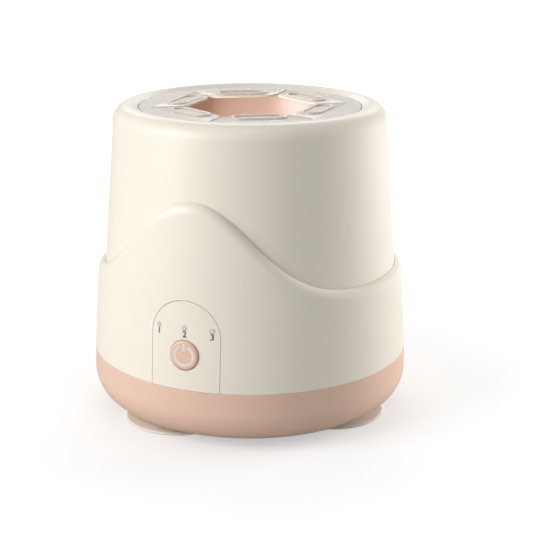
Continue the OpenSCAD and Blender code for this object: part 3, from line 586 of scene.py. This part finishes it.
# Sintered bronze: duller, speckled with oil-filled pores.
BRONZE = finish("bronze_sintered_oiled", "#A97F4C", "#8A6437", (0.34, 0.55), 0.5, 0.2, 0.015,
                Metallic=1.0)
# Solder mask over copper tracks: deep green, glossy.
BOARD = finish("epoxy_board_green_mask", "#1E6B45", "#17583A", (0.18, 0.3), 1.6, 0.6, 0.02,
               (1, 0.15, 1), **{"Coat Weight": 0.5, "Coat Roughness": 0.1})
# Shrink film round the cell: glossy blue-grey with small wrinkles.
SLEEVE = finish("pvc_shrink_film_blue_grey", "#7C93A3", "#6F8798", (0.16, 0.26), 7, 2.2, 0.04)
# Flexible wire covering, extruded: smooth and bright.
WIRE_RED = finish("pvc_red_extruded", "#B4322B", "#A82B25", (0.24, 0.34), 5, 0.4, 0.004)
WIRE_BLACK = finish("pvc_black_extruded", "#222222", "#2A2A2B", (0.24, 0.34), 5, 0.4, 0.004)
# Moulded rubber: dull charcoal with bloom.
RUBBER = finish("rubber_charcoal_moulded", "#3A3A3C", "#444447", (0.6, 0.75), 3, 0.3, 0.01)
# Cast resin of a small lamp: pale yellow from the phosphor in it.
LAMP = finish("epoxy_phosphor_cast", "#EFE7B4", "#E6DC9E", (0.2, 0.3), 0.6, 0.1, 0.002)
# Moulded nylon of the motor's end cap: off-white with a dull sheen.
CAP = finish("nylon_white_moulded", "#E6E4DE", "#DDDAD2", (0.35, 0.45), 4, 0.3, 0.004)
# Matt paper of the floor: even pale grey without highlights.
PAPER = finish("paper_white_matt", "#C6C6C6", "#C2C2C2", (0.8, 0.9), 40, 1, 0.005)

# CAD nodes that are shown as they are.
for coat, nodes in (
    # The cup wears the peach painted paler, as painted light against the shade inside it.
    (CUP_PAINTED_PALE, ["cup"]),
    (STEEL, ["cup_screw", "spindle", "retaining_clip", "motor_shaft", "board_screws",
             "charge_screws", "charge_socket", "chassis_screws", "motor_can", "motor_screws",
             "case_screws"]),
    (ACETAL, ["thrust_washer", "drive_gear"]),
    (BRASS, ["pinion", "battery_contacts"]),
    (NYLON, ["switch_plunger", "tact_switch", "socket_tongue", "battery_holder", "chassis"]),
    (LAMP, ["indicator_leds"]),
    (BOARD, ["control_board", "charge_board"]),
    (SLEEVE, ["battery"]),
    (CAP, ["motor_end_cap"]),
    (BRONZE, ["upper_bush", "lower_bush"]),
):
    for node in nodes:
        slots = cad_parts[node].data.materials
        slots.clear()
        slots.append(coat)


# ---------------------------------------------------------------- shells
def upper_shell():
    """Tapered upper shell with its rounded top edge and the sloping band inside the mouth."""
    under, lip_r, lip_low = TOP_Z - UPPER_WALL, MOUTH_R + LIP_T, TOP_Z - MOUTH_DROP - LIP_H
    wall = UPPER_WALL / math.cos(math.atan(UPPER_LEAN))
    bm = spun(rounded([
        (upper_r(SEAM_Z), SEAM_Z, SOFT), (upper_r(TOP_Z), TOP_Z, TOP_ROUND),
        (MOUTH_R + MOUTH_BEVEL, TOP_Z, BAND_TOP_SOFT), (MOUTH_R, TOP_Z - MOUTH_DROP, BAND_LOW_SOFT),
        (MOUTH_R, lip_low, BROAD), (lip_r, lip_low, BROAD), (lip_r, under),
        (upper_r(under) - wall, under, TOP_INSIDE_ROUND), (upper_r(SEAM_Z) - wall, SEAM_Z, SOFT),
    ]), SHELL_STEPS)
    for boss in at_posts(BOSS_RAD, SEAM_Z, SEAM_Z + BOSS_H):
        bm = carved(bm, boss, "UNION")
    holes = at_posts(SCREW_RAD, 0, SEAM_Z + SCREW_REACH, HOLE_STEPS)
    window = front_block(arch(WINDOW_MARGIN, SEAM_Z + WINDOW_SILL))
    bm = carved(bm, gathered(window, port(), *holes))
    piece("upper_shell_moulding", bm, CREAM, stands_for=["upper_shell"])


def skirt():
    """Wavy skirt: a spun section whose rim is lifted to the wave, cut for panel and inlet."""
    rim = RIM_LOW - RIM_FALL
    outer, inner = skirt_r(rim), upper_r(RIM_LOW) + SHELL_GAP
    quarter = [math.radians(90 * k / RIM_STEPS) for k in range(RIM_STEPS + 1)]
    over = [(inner + (outer - inner) * math.cos(a), rim + RIM_FALL * math.sin(a)) for a in quarter]
    foot = rounded([(upper_r(SEAM_Z) + SHELL_GAP, SEAM_Z, FINE), (SEAM_R, SEAM_Z, SEAM_SOFT),
                    over[0]])[:-1]
    bm = spun(foot + over, SHELL_STEPS)
    for v in bm.verts:
        turn = math.atan2(v.co.x, -v.co.y)
        r, z = math.hypot(v.co.x, v.co.y), v.co.z
        top, slope = crest(turn), crest_slope(turn)
        fall = math.sqrt(1 + slope * slope)
        if z > rim:
            level = top - (RIM_LOW - z) * fall
        else:
            level = SEAM_Z + (z - SEAM_Z) * (top - RIM_FALL * fall - SEAM_Z) / (rim - SEAM_Z)
        inside = min(1, max(0, (skirt_r(z) - r) / (skirt_r(z) - upper_r(z) - SHELL_GAP)))
        lean = SKIRT_LEAN + (UPPER_LEAN - SKIRT_LEAN) * inside
        v.co = Vector((v.co.x, v.co.y, 0)) * (r - (level - z) * lean) / r + Vector((0, 0, level))
    bm = carved(bm, gathered(front_block(arch(0, 0)), port()))
    softened(bm, SKIRT_SOFT, lambda p: p.z < ARCH_CLEAR and on_face(p))
    piece("skirt_moulding", bm, CREAM, stands_for=["skirt"], crease=SHELL_CREASE)


def base_tray():
    """Base tray: rounded underside, screw wells, foot holes, and posts and pillars inside."""
    bend_z, inner = BASE_LOW + BASE_ROUND, BASE_R - BASE_WALL
    bm = spun(rounded([
        (0, BASE_LOW), (BASE_R, BASE_LOW, BASE_ROUND), (BASE_R, bend_z),
        (SEAM_R, SEAM_Z, SEAM_SOFT), (SEAM_R - BASE_WALL, SEAM_Z, FINE), (inner, bend_z),
        (inner, FLOOR_Z, BASE_ROUND - BASE_WALL), (0, FLOOR_Z),
    ], SWEEP_STEP), SHELL_STEPS, closed=False)
    posts = at_posts(POST_RAD, FLOOR_Z - POST_SINK, SEAM_Z)
    pillars = at_pillars(PILLAR_RAD, FLOOR_Z - POST_SINK, CHASSIS_LOW - GROMMET_T)
    for solid in posts + pillars:
        bm = carved(bm, solid, "UNION")
    bm = carved(bm, gathered(*at_posts(WELL_RAD, -PAST, SEAM_Z - WELL_ROOF)))
    # The screw holes start inside the wells.
    holes = at_posts(SCREW_RAD, PAST, SEAM_Z + PAST, HOLE_STEPS)
    holes += at_pillars(SCREW_RAD, CHASSIS_LOW - PILLAR_HOLE, CHASSIS_LOW + PAST, HOLE_STEPS)
    holes += [rod(FOOT_HOLE, (f.x, f.y, -PAST), (f.x, f.y, FLOOR_Z + FOOT_HOLE_OVER))
              for f in FEET]
    bm = carved(bm, gathered(*holes))
    piece("base_tray_moulding", bm, PEACH, stands_for=["base_tray"])


# ---------------------------------------------------------------- control panel
def symbol(extra, low, high):
    """Power symbol as a solid, wider by a margin: a ring open at the top and a bar."""
    half, start, end = SYMBOL_W / 2 + extra, SYMBOL_OPEN - extra, SYMBOL_REACH + extra
    inner, outer = SYMBOL_R - half, SYMBOL_R + half
    open_half = math.asin(start / SYMBOL_R)
    ring = spun([(inner, low), (outer, low), (outer, high), (inner, high)], SYMBOL_STEPS,
                angle=2 * math.pi - 2 * open_half)
    moved(ring, Matrix.Rotation(math.pi / 2 + open_half, 4, "Z"))
    bar = plate(rounded([(-half, start, FINE), (half, start, FINE), (half, end, FINE),
                         (-half, end, FINE)]), low, high)
    return gathered(ring, bar)


def panel():
    """Arch-shaped panel with a hole for the button and three for the indicators."""
    ring = spun([(upper_r(SEAM_Z) + PANEL_BACK, SEAM_Z), (skirt_r(SEAM_Z), SEAM_Z),
                 (skirt_r(ARCH_TOP), ARCH_TOP), (upper_r(ARCH_TOP) + PANEL_BACK, ARCH_TOP)],
                SHELL_STEPS)
    bm = carved(ring, front_block(arch(ARCH_GAP, SEAM_Z + ARCH_GAP)), "INTERSECT")
    holes = [front_rod(BUTTON_R + BUTTON_GAP, 0, BUTTON_Z, BUTTON_STEPS)]
    holes += [front_rod(LENS_R + LENS_GAP, x, LENS_Z, HOLE_STEPS) for x in LENS_X]
    bm = carved(bm, gathered(*holes))
    softened(bm, PANEL_SOFT, on_face)
    piece("control_panel_moulding", bm, CREAM, stands_for=["control_panel"],
          crease=SHELL_CREASE)


def button():
    """Round button with a flange behind the panel, its stem and the light inlay in its face."""
    flange = math.sqrt(upper_r(BUTTON_Z + FLANGE_R) ** 2 - FLANGE_R ** 2) - FLANGE_GAP
    cap = spun(rounded([
        (0, BUTTON_FACE), (BUTTON_R, BUTTON_FACE, BUTTON_ROUND), (BUTTON_R, flange, HAIR),
        (FLANGE_R, flange, FINE), (FLANGE_R, flange - FLANGE_T, FINE),
        (STEM_R, flange - FLANGE_T, SOFT), (STEM_R, BUTTON_STEM, FINE), (0, BUTTON_STEM),
    ]), BUTTON_STEPS, closed=False)
    cap = carved(cap, symbol(INLAY_GAP, BUTTON_FACE - INLAY_BED, BUTTON_FACE + INLAY_OVER))
    piece("power_button_cap", to_front(cap, BUTTON_Z), PEACH, "button",
          ["power_button"])
    inlay = to_front(symbol(0, BUTTON_FACE - INLAY_T, BUTTON_FACE), BUTTON_Z)
    piece("power_symbol_inlay", inlay, INLAY, "button", ["power_symbol"])


def indicators():
    """Three light guides in the panel, with their numbers."""
    guides = []
    for x in LENS_X:
        face = face_r(LENS_Z, x) + LENS_PROUD
        guide = spun(rounded([(0, face), (LENS_R, face, LENS_ROUND), (LENS_R, LENS_BACK, HAIR),
                              (0, LENS_BACK)]), LENS_STEPS, closed=False)
        guides.append(moved(to_front(guide, LENS_Z), Matrix.Translation((x, 0, 0))))
    piece("indicator_light_guides", gathered(*guides), LENS,
          stands_for=["indicator_lenses"])
    for x, digit in zip(LENS_X, "123"):
        number(digit, x)


def number(digit, x):
    """Printed number under an indicator: a thin layer of ink on the panel's face."""
    curve = bpy.data.curves.new("work", "FONT")
    curve.body, curve.size = digit, LABEL_H / DIGIT_SHARE
    curve.align_x = curve.align_y = "CENTER"
    curve.offset, curve.extrude = LABEL_BOLD, LABEL_T / 2
    text = as_object("work", curve)
    bm = evaluated(text)
    bpy.data.objects.remove(text)
    bpy.data.curves.remove(curve)
    for v in bm.verts:
        across, level = x + v.co.x, LABEL_Z + v.co.y
        v.co = (across, -face_r(level, across) - LABEL_T / 2 - v.co.z, level)
    piece("number_" + digit, sealed(bm), INK)


# ---------------------------------------------------------------- gripper and other soft pieces
def gripper():
    """Silicone ring over the cup's rim and its six flaps, each with a raised oblong bead."""
    ring = spun(rounded([(ROOT_FLAT, GRIP_Z), (ROOT_FLAT, GRIP_TOP), (GRIP_R, GRIP_TOP, SOFT),
                         (GRIP_R, GRIP_LOW, BROAD), (CUP_R, GRIP_LOW, BROAD), (CUP_R, GRIP_Z)]),
                SILICONE_STEPS)
    # The inner wall becomes six flats, one at the root of each flap.
    for v in ring.verts:
        if math.hypot(v.co.x, v.co.y) < ROOT_FLAT + NEAR:
            turn = (math.atan2(v.co.y, v.co.x) + HALF_FLAP) % (2 * HALF_FLAP) - HALF_FLAP
            v.co.x, v.co.y = v.co.x / math.cos(turn), v.co.y / math.cos(turn)
    piece("gripper_ring_skin", ring, GRIP, "cup", ["gripper_ring"])
    for i in range(6):
        turn = Matrix.Rotation(math.radians(60 * i - 60), 4, "Z")
        skin = moved(carved(flap(), bead(), "UNION"), turn)
        ends = [turn @ Vector((ROOT_FLAT - shift, 0, GRIP_Z)) * MM for shift in (0, BEND)]
        piece(f"gripper_flap_{i + 1}", skin, GRIP, "cup", [f"flap_{i + 1}"],
              [f"flap_{i + 1}", *ends])


def flap():
    """One flap, flat, its tip towards the axis, with rows of points across the bend at its root."""
    slit = SLIT_W / 2 / math.cos(HALF_FLAP)
    tip = HOLE_FLAT * math.tan(HALF_FLAP) - slit
    root = ROOT_FLAT * math.tan(HALF_FLAP) - slit
    bm = plate(rounded([(HOLE_FLAT, -tip, FLAP_CORNER), (ROOT_FLAT, -root), (ROOT_FLAT, root),
                        (HOLE_FLAT, tip, FLAP_CORNER)]), GRIP_Z, GRIP_TOP)
    softened(bm, SOFT, lambda p: p.x < ROOT_FLAT - NEAR, 3)
    for k in range(1, BEND_ROWS + 1):
        bmesh.ops.bisect_plane(bm, geom=bm.verts[:] + bm.edges[:] + bm.faces[:],
                               plane_co=(ROOT_FLAT - BEND * k / BEND_ROWS, 0, 0),
                               plane_no=(1, 0, 0))
    return bm


def bead():
    """Raised oblong bead: a half-round section led round two half turns and two straights."""
    turn_r, reach = BEAD_W / 2 - BEAD_R, (BEAD_L - BEAD_W) / 2
    turns = [math.pi * k / (2 * BOW_STEPS) for k in range(-BOW_STEPS, BOW_STEPS + 1)]
    section = [(BEAD_R * math.sin(a), BEAD_R * math.cos(a)) for a in turns]
    section += [(BEAD_R, -BEAD_SINK), (-BEAD_R, -BEAD_SINK)]
    bm = bmesh.new()
    line = [bm.verts.new((BEAD_PLACE + turn_r + x, reach, GRIP_TOP + z)) for x, z in section]
    geom = line + [bm.edges.new((line[k - 1], line[k])) for k in range(len(line))]
    for side in (1, -1):
        bow = bmesh.ops.spin(bm, geom=geom, cent=(BEAD_PLACE, side * reach, 0), axis=(0, 0, 1),
                             angle=math.pi, steps=BEAD_STEPS)
        straight = bmesh.ops.extrude_edge_only(bm, edges=edges_of(bow["geom_last"]))["geom"]
        ends = points_of(straight)
        bmesh.ops.translate(bm, vec=(0, -side * 2 * reach, 0), verts=ends)
        geom = ends + [e for e in edges_of(straight) if set(e.verts) <= set(ends)]
    return sealed(bm)


def cup_pad():
    """Ribbed pad under the bottle."""
    sides = ((GROOVE_TOP, 0), (GROOVE_FLOOR, GROOVE_DEPTH),
             (-GROOVE_FLOOR, GROOVE_DEPTH), (-GROOVE_TOP, 0))
    grooves = [(PAD_R * share + side, PAD_TOP - depth, GROOVE_ROUND)
               for share in GROOVES for side, depth in sides]
    bm = spun(rounded([(0, PAD_WELL_TOP), (PAD_WELL_R, PAD_WELL_TOP, FINE),
                       (PAD_WELL_R, PAD_LOW, FINE), (PAD_R, PAD_LOW, SOFT),
                       (PAD_R, PAD_TOP, PAD_ROUND), *grooves, (0, PAD_TOP)]),
              SILICONE_STEPS, closed=False)
    piece("cup_pad_skin", bm, GRIP, "cup", ["cup_pad"])


def suction_feet():
    """Four suction feet: thin lip, hollow below, stem through the floor, head that holds it."""
    hollow, rim = BASE_LOW - FOOT_ROOF, FOOT_R - FOOT_LIP
    ball = (rim * rim + hollow * hollow) / (2 * hollow)
    radii = [rim * k / HOLLOW_STEPS for k in range(HOLLOW_STEPS + 1)]
    under = [(r, hollow - ball + math.sqrt(ball * ball - r * r)) for r in radii]
    outline = rounded([
        *under, (FOOT_R, 0, FOOT_LIP_ROUND), (FOOT_R, FOOT_LIP_H, BROAD),
        (FOOT_FLARE, BASE_LOW - FOOT_FLARE_DROP, FOOT_FLARE_ROUND), (FOOT_COLLAR, BASE_LOW, HAIR),
        (FOOT_STEM, BASE_LOW), (FOOT_STEM, FLOOR_Z), (FOOT_HEAD, FLOOR_Z, FINE),
        (FOOT_HEAD, FLOOR_Z + FOOT_HEAD_H, SOFT),
        (FOOT_TIP, FLOOR_Z + FOOT_TIP_H, FOOT_TIP_ROUND), (0, FLOOR_Z + FOOT_TIP_H)])
    for i, spot in enumerate(FEET):
        bm = moved(spun(outline, FOOT_STEPS, closed=False),
                   Matrix.Translation((spot.x, spot.y, 0)))
        piece(f"suction_foot_{i + 1}_skin", bm, FOOT,
              stands_for=[f"suction_foot_{i + 1}"])


def grommets():
    """Rubber grommets that carry the chassis on its pillars."""
    low, top = CHASSIS_LOW - GROMMET_T, CHASSIS_LOW + CHASSIS_T
    outline = rounded([
        (SCREW_RAD, low), (GROMMET_RAD, low, SOFT), (GROMMET_RAD, CHASSIS_LOW, SOFT),
        (GROMMET_WAIST, CHASSIS_LOW), (GROMMET_WAIST, top), (GROMMET_RAD, top, SOFT),
        (GROMMET_RAD, top + GROMMET_T, SOFT), (SCREW_RAD, top + GROMMET_T)])
    shapes = [moved(spun(outline, POST_STEPS), Matrix.Translation((x, y, 0))) for x, y in PILLARS]
    piece("chassis_grommet_rubbers", gathered(*shapes), RUBBER,
          stands_for=["chassis_grommets"])


def lead_wires():
    """Round wire in place of the eight-sided leads: a merged copy of each, smoothed."""
    for node, coat in (("motor_leads", WIRE_RED), ("battery_leads", WIRE_RED),
                       ("link_leads", WIRE_BLACK)):
        bm = bmesh.new()
        bm.from_mesh(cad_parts[node].data)
        bmesh.ops.scale(bm, vec=(1 / MM, 1 / MM, 1 / MM), verts=bm.verts[:])
        bmesh.ops.remove_doubles(bm, verts=bm.verts[:], dist=LEAD_MERGE)
        bmesh.ops.join_triangles(bm, faces=bm.faces[:], angle_face_threshold=LEAD_JOIN,
                                 angle_shape_threshold=LEAD_JOIN)
        wire = piece(node + "_round", bm, coat, stands_for=[node])
        smooth = wire.modifiers.new("round", "SUBSURF")
        smooth.levels = smooth.render_levels = 2


upper_shell()
skirt()
base_tray()
panel()
button()
indicators()
gripper()
cup_pad()
suction_feet()
grommets()
lead_wires()


# ---------------------------------------------------------------- floor, light and camera
# From here on, sizes and places are in metres.
FLOOR_HALF, FLOOR_DROP = 6, 0.0002
# The floor's glow rises from the first share to the second between these distances.
GLOW_NEAR, GLOW_FAR = (0.1, 0.46), (0.4, 1.0)
STUDIO_GREY, STUDIO_WHITE = "#A9A9A9", "#FFFFFF"
CAMERA_PLACE, CAMERA_AIM = (0.2014, -0.4768, 0.2100), 0.061
SENSOR_MM, FOCAL_MM = 36.0, 89.29
CAMERA_SHIFT = (0.0327, -0.0312)
OBJECT_MIDDLE = 0.06


def studio_floor():
    """Sheet of paper. To the camera it is lit from behind, more so further out, up to white."""
    bm = bmesh.new()
    bmesh.ops.create_grid(bm, x_segments=1, y_segments=1, size=FLOOR_HALF)
    bmesh.ops.translate(bm, vec=(0, 0, -FLOOR_DROP), verts=bm.verts[:])
    floor = as_object("floor", as_mesh("floor", bm))
    floor.data.materials.append(PAPER)
    tree = PAPER.node_tree
    spot = add(tree, "TexCoord", {}).outputs["Object"]
    reach = add(tree, "VectorMath", {0: spot}, operation="LENGTH")
    glow = add(tree, "MapRange", {"Value": reach.outputs["Value"],
                                  "From Min": GLOW_NEAR[0], "From Max": GLOW_FAR[0],
                                  "To Min": GLOW_NEAR[1], "To Max": GLOW_FAR[1]})
    seen = add(tree, "LightPath", {}).outputs["Is Camera Ray"]
    lift = add(tree, "Math", {0: glow.outputs["Result"], 1: seen}, operation="MULTIPLY")
    skin = tree.nodes["Principled BSDF"]
    skin.inputs["Emission Color"].default_value = srgb(STUDIO_WHITE)
    tree.links.new(lift.outputs["Value"], skin.inputs["Emission Strength"])


def aimed(obj, spot, height):
    """Puts a lamp or the camera in its place, turned to a height on the object's axis."""
    obj.location = spot
    way = Vector((0, 0, height)) - obj.location
    obj.rotation_euler = way.to_track_quat("-Z", "Y").to_euler()
    return obj


def softbox(name, azimuth, height, distance, size, power, aim=OBJECT_MIDDLE):
    """Rectangular light at an angle from the front, turned to a height on the object's axis."""
    data = bpy.data.lights.new(name, "AREA")
    data.shape, data.size, data.size_y, data.energy = "RECTANGLE", size[0], size[1], power
    lamp = aimed(as_object(name, data), place(azimuth, distance, height), aim)
    lamp.visible_camera = False
    return lamp


def studio_world():
    """Grey surroundings for the light, white ones for the camera."""
    world = bpy.data.worlds.new("studio")
    world.use_nodes = True
    tree = world.node_tree
    seen = add(tree, "LightPath", {}).outputs["Is Camera Ray"]
    white = add(tree, "Mix", {"Factor": seen, "A": srgb(STUDIO_GREY), "B": srgb(STUDIO_WHITE)},
                data_type="RGBA")
    tree.links.new(white.outputs["Result"], tree.nodes["Background"].inputs["Color"])
    scene.world = world


def studio_camera():
    """Camera at the photograph's angle, fitted to the object's outline."""
    data = bpy.data.cameras.new("camera")
    data.sensor_width, data.lens = SENSOR_MM, FOCAL_MM
    data.shift_x, data.shift_y = CAMERA_SHIFT
    scene.camera = aimed(as_object("camera", data), CAMERA_PLACE, CAMERA_AIM)


studio_floor()
softbox("key_left", -40, 0.42, 0.9, (0.6, 0.8), 7.7)
# The light for the right edge shows in no highlight, so that the shells' edge stays soft.
softbox("edge_right", 136, 0.14, 0.9, (0.5, 0.25), 8.3).visible_glossy = False
softbox("back_top", 200, 0.5, 0.8, (0.8, 0.3), 2.1, 0.12)
softbox("top_fill", 10, 1.3, 0.15, (1.0, 1.0), 1.5)
# Inside the cup, for the light that the milky flaps of the real gripper let through.
softbox("cup_fill", -74, 0.108, 0.022, (0.03, 0.012), 0.019, 0.106)
studio_world()
studio_camera()
scene.view_settings.view_transform = "Standard"
